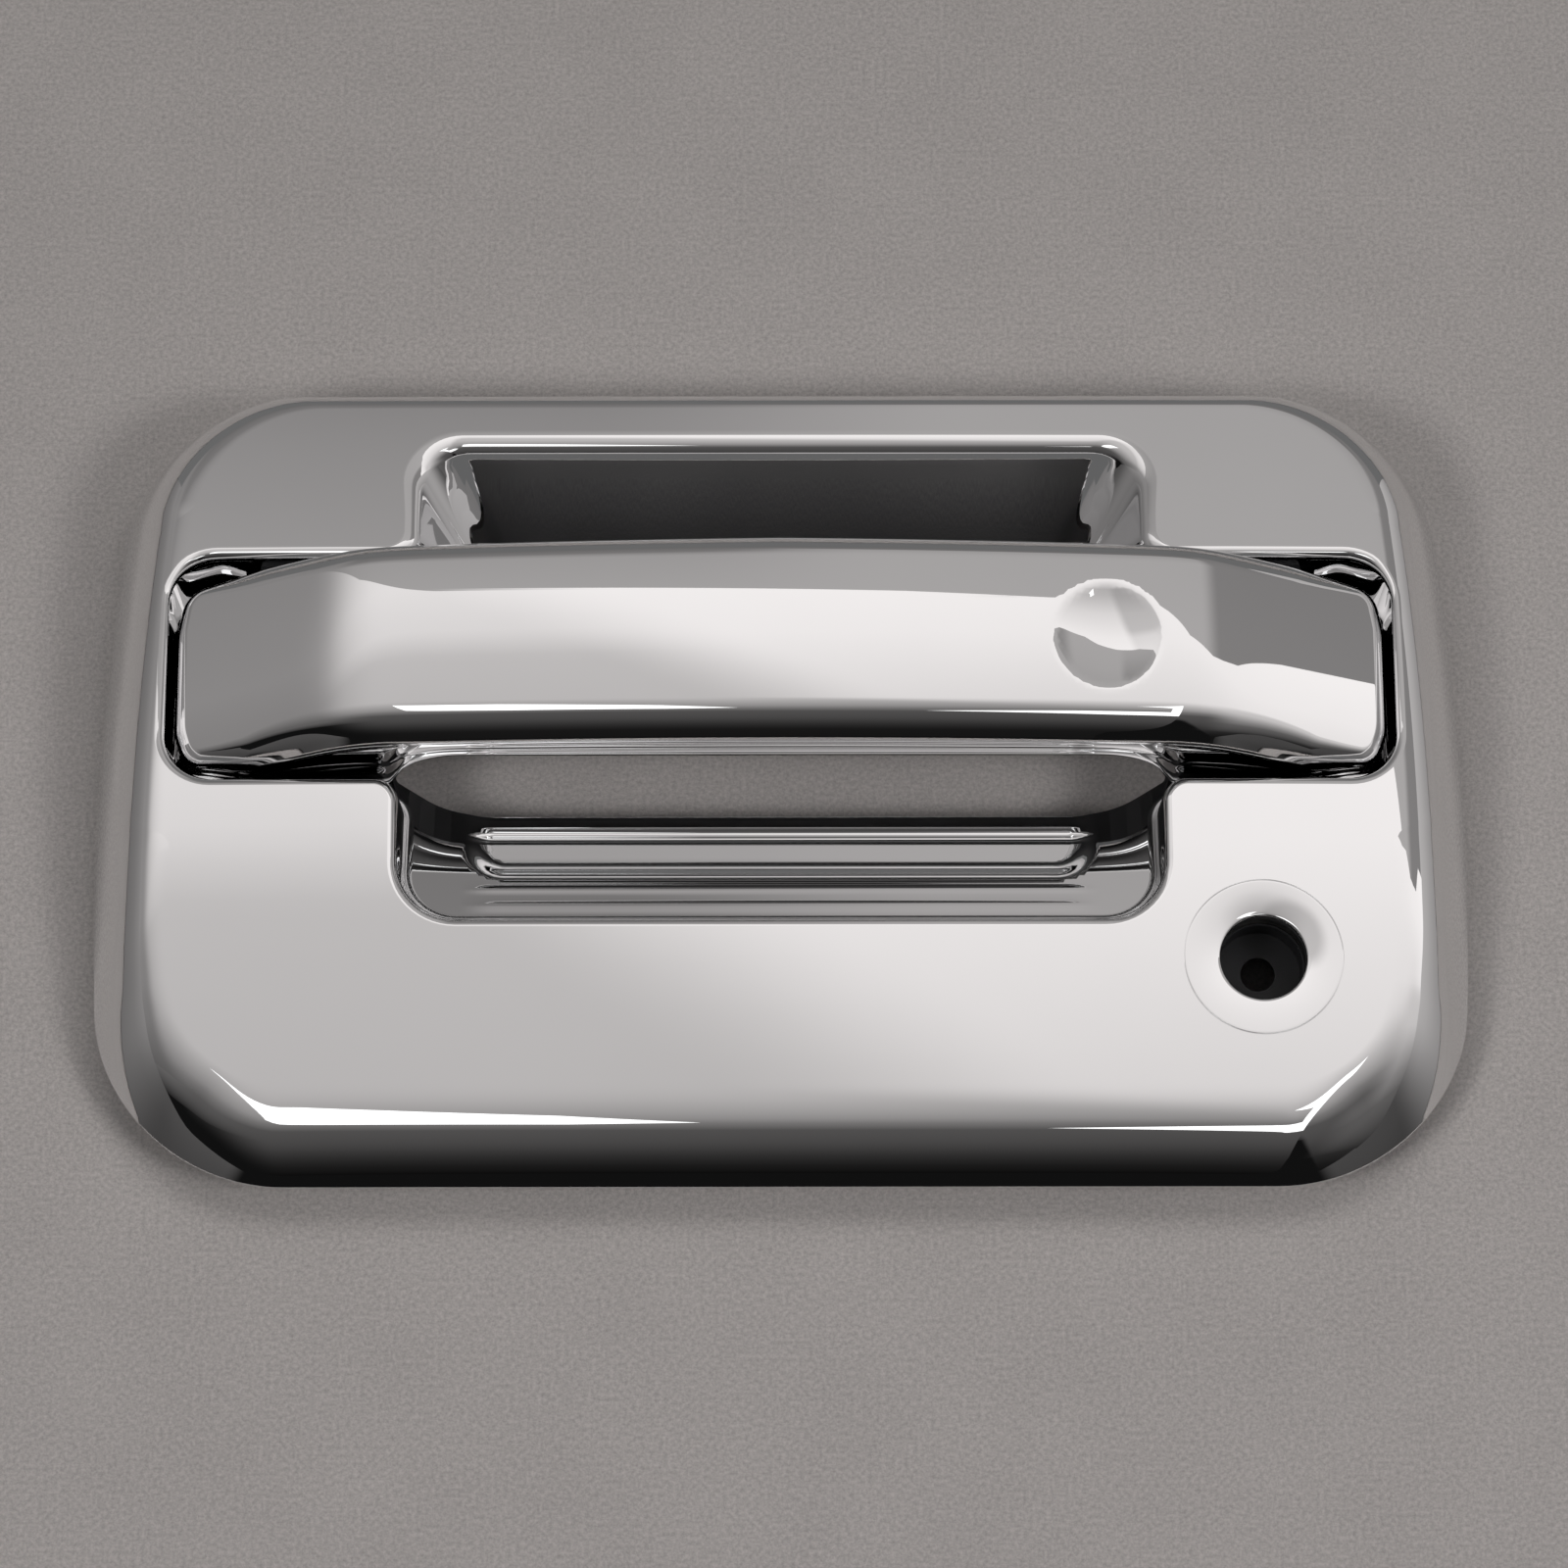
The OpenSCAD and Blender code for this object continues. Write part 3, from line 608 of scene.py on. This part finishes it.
class Nodes:
    """Short names for building a material's nodes."""

    def __init__(self, name):
        self.material = bpy.data.materials.new(name)
        self.material.use_nodes = True
        self.tree = self.material.node_tree
        self.shader = self.tree.nodes["Principled BSDF"]

    def add(self, kind, **sockets):
        node = self.tree.nodes.new(kind)
        for key, value in sockets.items():
            self.put(node, key, value)
        return node

    def put(self, node, key, value):
        """Sets or links the socket called key, or the one with that number for a key such as _1."""
        socket = node.inputs[int(key[1:]) if key[1:].isdigit() else key.replace("_", " ")]
        if isinstance(value, bpy.types.NodeSocket):
            self.tree.links.new(value, socket)
        else:
            socket.default_value = value

    def set(self, **sockets):
        for key, value in sockets.items():
            self.put(self.shader, key, value)

    def place(self, scale=(1, 1, 1)):
        coordinates = self.tree.nodes.new("ShaderNodeTexCoord")
        mapping = self.add("ShaderNodeMapping", Vector=coordinates.outputs["Object"])
        mapping.inputs["Scale"].default_value = scale
        return mapping.outputs["Vector"]

    def noise(self, scale, detail=3.0, roughness=0.55, stretch=(1, 1, 1)):
        place = self.place(stretch)
        node = self.add("ShaderNodeTexNoise", Vector=place, Scale=scale, Detail=detail, Roughness=roughness)
        return node.outputs["Fac"]

    def ramp(self, value, stops):
        node = self.add("ShaderNodeValToRGB", Fac=value)
        for k, (at, colour) in enumerate(stops):
            e = node.color_ramp.elements[k] if k < 2 else node.color_ramp.elements.new(at)
            e.position = at
            e.color = (*colour, 1) if len(colour) == 3 else colour
        return node.outputs["Color"]

    def span(self, value, low, high):
        node = self.add("ShaderNodeMapRange", Value=value)
        node.inputs["To Min"].default_value = low
        node.inputs["To Max"].default_value = high
        return node.outputs["Result"]

    def times(self, a, b):
        node = self.add("ShaderNodeMath", _0=a, _1=b)
        node.operation = "MULTIPLY"
        return node.outputs[0]

    def bump(self, height, strength, distance):
        node = self.add("ShaderNodeBump", Height=height, Strength=strength, Distance=distance)
        return node.outputs["Normal"]


def grey(v):
    return (v, v, v)


def chrome():
    """Bright plating: almost a mirror, with faint haze and hairline scratches."""
    m = Nodes("bright_chrome")
    haze = m.noise(14, 4)
    hair = m.noise(1, 2, 0.6, (40, 900, 400))
    fine = m.ramp(hair, [(0.70, grey(0)), (0.74, grey(1))])
    rough = m.add("ShaderNodeMath", _0=m.span(haze, 0.004, 0.016), _1=m.span(fine, 0, 0.03))
    m.set(Base_Color=m.ramp(haze, [(0.3, (0.87, 0.87, 0.875)), (0.7, (0.9, 0.9, 0.905))]), Metallic=1.0,
          Roughness=rough.outputs[0])
    return m.material


def moulded(name, colour, spread, rough, grain, depth):
    """Moulded plastic with a fine grain and slight shine marks."""
    m = Nodes(name)
    big = m.noise(35, 4)
    lo, hi = [tuple(c * k for c in colour) for k in (1 - spread, 1 + spread)]
    m.set(Base_Color=m.ramp(big, [(0.3, lo), (0.7, hi)]), Roughness=m.span(big, rough - 0.08, rough + 0.08),
          Normal=m.bump(m.noise(grain, 3, 0.7), 0.5, depth))
    return m.material


def rubber():
    m = Nodes("sealing_rubber")
    dust = m.noise(260, 5, 0.7)
    m.set(Base_Color=m.ramp(dust, [(0.45, (0.012, 0.012, 0.012)), (0.8, (0.05, 0.048, 0.045))]),
          Roughness=m.span(dust, 0.7, 0.95), Normal=m.bump(m.noise(1800, 2), 0.35, 0.0001))
    return m.material


def metal(name, colour, rough, stretch, scale, wear=0.12):
    """Turned, drawn or cast metal: marks that run along stretch, and patchy dulling."""
    m = Nodes(name)
    marks = m.noise(scale, 3, 0.6, stretch)
    patch = m.noise(55, 4)
    dark = tuple(c * (1 - wear) for c in colour)
    m.set(Base_Color=m.ramp(patch, [(0.35, dark), (0.65, colour)]), Metallic=1.0,
          Roughness=m.span(marks, rough - 0.08, rough + 0.12), Normal=m.bump(marks, 0.25, 0.00004))
    return m.material


def paper():
    """Grey card with fine fibres and slight unevenness."""
    m = Nodes("paper")
    fibre = m.noise(1300, 8, 0.8)
    cloud = m.noise(45, 4, 0.6)
    both = m.add("ShaderNodeMath", _0=m.span(fibre, -1.4, 1.4), _1=m.span(cloud, -0.12, 0.12))
    shade = m.add("ShaderNodeMath", _0=both.outputs[0], _1=0.5)
    m.set(Base_Color=m.ramp(shade.outputs[0], [(0.1, (0.34, 0.32, 0.312)), (0.9, (0.56, 0.528, 0.516))]),
          Roughness=0.92, Normal=m.bump(fibre, 0.35, 0.0002))
    m.set(**{"Specular IOR Level": 0.2})
    return m.material


def make_materials():
    return {
        "bright_chrome": chrome(),
        "black_nylon": moulded("black_nylon", (0.022, 0.022, 0.024), 0.3, 0.5, 2600, 0.00008),
        "core_plastic": moulded("core_plastic", (0.03, 0.031, 0.034), 0.25, 0.42, 3400, 0.00005),
        "sealing_rubber": rubber(),
        "brass": metal("brass", (0.72, 0.52, 0.24), 0.28, (1, 1, 60), 60),
        "zinc_steel": metal("zinc_steel", (0.62, 0.63, 0.65), 0.3, (60, 1, 1), 60),
        "spring_steel": metal("spring_steel", (0.4, 0.41, 0.43), 0.3, (1, 1, 1), 900),
        "phosphated_steel": metal("phosphated_steel", (0.07, 0.07, 0.075), 0.45, (1, 1, 1), 1500, 0.4),
        "acetal": moulded("acetal", (0.78, 0.76, 0.68), 0.04, 0.35, 1200, 0.00003),
        "die_casting": metal("die_casting", (0.4, 0.405, 0.41), 0.5, (1, 1, 1), 1100, 0.2),
        "clip_plastic": moulded("clip_plastic", (0.08, 0.3, 0.15), 0.1, 0.35, 1500, 0.00004),
    }


# ------------------------------------------------------------------ light, floor and camera

ROOM = 2.9                       # half the width of the room, in metres
CEILING = 1.6                    # its height, in metres


def warm(v):
    """The slightly warm white of the lit sheets."""
    return (v, 0.965 * v, 0.955 * v)


def facing_down(corners):
    """The corners in the order that makes a level sheet face down."""
    turn = sum(a[0] * b[1] - b[0] * a[1] for a, b in zip(corners, corners[1:] + corners[:1]))
    return corners[::-1] if turn > 0 else corners


def fade(m, value, a, b):
    """A smooth step from 0 at a to 1 at b."""
    node = m.add("ShaderNodeMapRange", Value=value)
    node.interpolation_type = "SMOOTHSTEP"
    node.inputs["From Min"].default_value = a
    node.inputs["From Max"].default_value = b
    return node.outputs["Result"]


def panel(name, back, front, z, stops, soft=(0.0, 0.0), edge=0.0, lean=None):
    """A level glowing sheet, from its back outline to y = front, seen in reflections and not by the camera.

    stops are (y, brightness) from back to front. soft are the widths over which its two sides fade out, and
    edge is that of its back. With lean (k, a, b) its left side fades from x + k y = a to b.
    """
    low, high, start = back[0][0], back[-1][0], stops[0][0]
    corners = facing_down(back + [(high, front), (low, front)])

    def glow(m, at):
        along = m.add("ShaderNodeMapRange", Value=at.outputs["Y"])
        along.inputs["From Min"].default_value = start
        along.inputs["From Max"].default_value = front
        places = [((y - start) / (front - start), warm(v)) for y, v in stops]
        light = m.ramp(along.outputs["Result"], places)
        cover = None
        for axis, a, width in (("X", low, soft[0]), ("X", high, soft[1]), ("Y", start, -edge)):
            if width:
                part = fade(m, at.outputs[axis], a, a + width)
                cover = part if cover is None else m.times(cover, part)
        if lean:
            across = m.add("ShaderNodeMath", _0=m.times(at.outputs["Y"], lean[0]), _1=at.outputs["X"])
            cover = fade(m, across.outputs[0], lean[1], lean[2])
        return light, cover

    glow_sheet(name, [(x, y, z) for x, y in corners], glow)


def wall(side, stops, least):
    """A glowing wall at one side, its brightness by height.

    Towards the front it fades to a least share of that.
    """
    x, front = ROOM * side, -6.5
    corners = [(x, ROOM, CEILING), (x, front, CEILING), (x, front, 0), (x, ROOM, 0)]

    def glow(m, at):
        up = m.add("ShaderNodeMapRange", Value=at.outputs["Z"])
        up.inputs["From Max"].default_value = CEILING
        light = m.ramp(up.outputs["Result"], [(z / CEILING, warm(v)) for z, v in stops])
        share = m.span(fade(m, at.outputs["Y"], -1.8, 0), least, 1)
        return light, m.times(share, fade(m, at.outputs["Y"], front, front + 2))

    glow_sheet("side_wall", corners if side < 0 else corners[::-1], glow)


def sheet(name, corners, brightness):
    """A flat evenly glowing sheet, its corners counter-clockwise seen from its bright side."""
    glow_sheet(name, corners, lambda m, at: (grey(brightness) + (1,), None))


def glow_sheet(name, corners, glow_of):
    mesh = bpy.data.meshes.new(name)
    mesh.from_pydata(corners, [], [tuple(range(len(corners)))])
    m = Nodes(name)
    m.tree.nodes.remove(m.shader)
    coordinates = m.tree.nodes.new("ShaderNodeTexCoord")
    light, cover = glow_of(m, m.add("ShaderNodeSeparateXYZ", Vector=coordinates.outputs["Object"]))
    glow = m.add("ShaderNodeEmission", Color=light, Strength=1.0)
    clear = m.add("ShaderNodeBsdfTransparent")
    out = glow.outputs[0]
    if cover is not None:
        out = m.add("ShaderNodeMixShader", _0=cover, _1=clear.outputs[0], _2=out).outputs[0]
    back = m.tree.nodes.new("ShaderNodeNewGeometry").outputs["Backfacing"]
    out = m.add("ShaderNodeMixShader", _0=back, _1=out, _2=clear.outputs[0]).outputs[0]
    m.tree.links.new(out, m.tree.nodes["Material Output"].inputs["Surface"])
    o = bpy.data.objects.new(name, mesh)
    mesh.materials.append(m.material)
    o.visible_camera = o.visible_shadow = o.visible_diffuse = False
    bpy.context.scene.collection.objects.link(o)


def make_floor():
    corners = [(-3, -3, 0), (3, -3, 0), (3, 3, 0), (-3, 3, 0)]
    mesh = bpy.data.meshes.new("floor")
    mesh.from_pydata(corners, [], [(0, 1, 2, 3)])
    o = bpy.data.objects.new("floor", mesh)
    o.location.z = -0.0002
    mesh.materials.append(paper())
    bpy.context.scene.collection.objects.link(o)
    return o


def make_backdrop():
    """Four far walls that only the camera sees. Their glow is painted light, with painted shade dark at the
    foot like the far end of the floor.
    """
    far, high = 3.4, 4.0
    ring = [(-far, -far), (far, -far), (far, far), (-far, far)]
    corners = [(x, y, z) for z in (0, high) for x, y in ring]
    sides = [(i, (i + 1) % 4, (i + 1) % 4 + 4, i + 4) for i in range(4)]
    mesh = bpy.data.meshes.new("backdrop")
    mesh.from_pydata(corners, [], sides)
    m = Nodes("backdrop")
    m.tree.nodes.remove(m.shader)
    coordinates = m.tree.nodes.new("ShaderNodeTexCoord")
    at = m.add("ShaderNodeSeparateXYZ", Vector=coordinates.outputs["Object"])
    # painted light: the walls glow instead of being lit, with painted shade darkest at their foot
    stops = [(0.0, grey(0.03)), (0.06, grey(0.1)), (0.25, grey(0.2)), (0.6, grey(0.24))]
    painted_backdrop_glow = m.ramp(at.outputs["Z"], stops)
    glow = m.add("ShaderNodeEmission", Color=painted_backdrop_glow)
    m.tree.links.new(glow.outputs[0], m.tree.nodes["Material Output"].inputs["Surface"])
    o = bpy.data.objects.new("backdrop", mesh)
    mesh.materials.append(m.material)
    o.visible_glossy = o.visible_shadow = o.visible_diffuse = o.visible_transmission = False
    bpy.context.scene.collection.objects.link(o)


def make_world(brightness):
    world = bpy.data.worlds.new("studio")
    bpy.context.scene.world = world
    world.use_nodes = True
    world.node_tree.nodes["Background"].inputs["Color"].default_value = (1, 1, 1, 1)
    world.node_tree.nodes["Background"].inputs["Strength"].default_value = brightness


def make_camera():
    tilt, distance, roll = math.radians(24), 1.063, math.radians(-0.07)
    target = Vector((0.0006, -0.0028, 0.015))
    back = Vector((0, -math.sin(tilt), math.cos(tilt)))
    data = bpy.data.cameras.new("camera")
    data.sensor_width = 36
    data.lens = 139.66
    data.dof.use_dof = False
    data.clip_end = 20
    o = bpy.data.objects.new("camera", data)
    o.location = target + back * distance
    o.rotation_euler = (-back).to_track_quat("-Z", "Y").to_euler()
    o.rotation_euler.rotate_axis("Z", roll)
    bpy.context.scene.collection.objects.link(o)
    bpy.context.scene.camera = o


def make_overhead():
    """The big softbox over the part, dimmer to its left, with the fading light in front of it."""
    front = [(-0.75, 0.2), (-1.0, 0.09), (-1.6, 0.07), (-2.2, 0.045), (-2.7, 0.03), (-3.3, 0.02),
             (-4.2, 0.012), (-6.5, 0.004)]
    back = [(-0.36, 0.54), (0.1, 0.5), (0.45, 0.43), (0.7, 0.345), (1.2, 0.33), (1.45, 0.36), (1.76, 0.41),
            (2.17, 0.56), (ROOM, 0.72)]
    stops = [(1.2, 1.0), (0.56, 1.0), (0.3, 0.95), (-0.06, 0.77), (-0.32, 0.53), (-0.6, 0.33)]
    panel("overhead", back, -6.5, 1.5, stops + front, lean=(0.47, -0.07, 0.11))
    back = [(-2.2, 1.2), (-1.0, 0.72), (-0.3, 0.53), (0.1, 0.5), (0.45, 0.43), (0.6, 0.38)]
    stops = [(1.2, 0.8), (0.56, 0.86), (0.32, 0.78), (0.2, 0.58), (-0.06, 0.54), (-0.32, 0.42), (-0.6, 0.3)]
    panel("overhead_left", back, -6.5, 1.52, stops + front, soft=(1.8, 0))
    stops = [(0.2, 0.66), (-0.3, 0.6), (-0.7, 0.38), (-1.0, 0.25), (-1.45, 0.12), (-3.0, 0.02)]
    panel("right_side", [(1.0, 0.2), (ROOM, 0.2)], -3.0, 1.46, stops, soft=(1.0, 0), edge=0.35)


def make_room():
    """The grey ceiling behind the softbox, and the walls."""
    stops = [(2.9, 0.15), (1.5, 0.2), (1.1, 0.3), (0.5, 0.41), (-0.4, 0.26), (-1.6, 0.02)]
    panel("ceiling", [(-ROOM, ROOM), (ROOM, ROOM)], -1.6, CEILING, stops)
    stops = [(2.0, 0.34), (1.0, 0.41), (0.2, 0.44)]
    panel("ceiling_middle", [(-0.1, 2.0), (1.6, 2.0)], 0.2, CEILING - 0.01, stops, soft=(0.2, 0))
    stops = [(2.9, 0.2), (0.0, 0.24)]
    panel("ceiling_right", [(1.0, ROOM), (ROOM, ROOM)], 0.0, CEILING - 0.02, stops, soft=(0.5, 0))
    stops = [(2.9, 0.22), (0.5, 0.28), (-1.0, 0.12)]
    panel("ceiling_left", [(-ROOM, ROOM), (-1.2, ROOM)], -1.0, CEILING - 0.02, stops, soft=(0, -0.8))
    wall(-1, [(0, 0.16), (0.8, 0.2), (1.6, 0.26)], 0.3)
    wall(1, [(0, 0.3), (0.9, 0.42), (1.4, 0.46), (1.6, 0.48)], 0.13)
    back_wall = [(ROOM, ROOM, CEILING), (-ROOM, ROOM, CEILING), (-ROOM, ROOM, 0), (ROOM, ROOM, 0)]
    sheet("back_wall", back_wall, 0.15)


def make_strips():
    """The bright bare patches of the softbox, which glint along the lower edges."""
    strips = {
        "strip_left": [(-0.42, -0.22), (-0.22, -0.30), (-0.18, -0.36), (-0.094, -0.50), (-0.035, -0.69),
                       (-0.094, -0.74), (-0.22, -0.72), (-0.36, -0.6)],
        "strip_right": [(0.12, -0.88), (0.24, -0.76), (0.56, -0.72), (0.56, -1.02), (0.3, -1.02)],
        "strip_top": [(0.3, -0.4), (0.56, -0.26), (0.56, -0.5)],
        "strip_end": [(0.46, -0.46), (0.56, -0.42), (0.56, -0.76), (0.46, -0.76)],
    }
    for name, corners in strips.items():
        sheet(name, [(x, y, 1.42) for x, y in facing_down(corners)], 1.5)


def make_lamps():
    """Three lamps that light the paper and the dark parts, and don't show in the plating."""
    lamps = [((-0.65, -0.55, 1.0), (0.4, 0.3), 4.6), ((0.8, -0.5, 1.0), (0.4, 0.3), 5.4),
             ((0.2, 0.7, 1.3), (1.6, 0.7), 6.5)]
    for place, size, power in lamps:
        data = bpy.data.lights.new("paper_light", "AREA")
        data.shape = "RECTANGLE"
        data.size, data.size_y = size
        data.color = (1, 0.985, 0.975)
        data.energy = power
        lamp = bpy.data.objects.new("paper_light", data)
        lamp.location = place
        lamp.rotation_euler = (-Vector(place)).to_track_quat("-Z", "Y").to_euler()
        lamp.visible_glossy = False
        bpy.context.scene.collection.objects.link(lamp)


def dress():
    """Gives every piece its material."""
    materials = make_materials()
    slot_of = {row["node"]: row["material_slot"] for row in frame["record"]["subparts"]}
    for name, o in frame["nodes"].items():
        o.data.materials.clear()
        o.data.materials.append(materials[slot_of[name]])
    for name in ("surround_shell", "surround_posts", "strap_shell"):
        bpy.data.objects[name].data.materials.append(materials["bright_chrome"])


make_camera()
build_surround()
build_posts()
build_strap()
dress()
make_floor()
make_backdrop()
make_world(0.006)
make_overhead()
make_room()
make_strips()
make_lamps()
bpy.context.scene.view_settings.view_transform = "Standard"
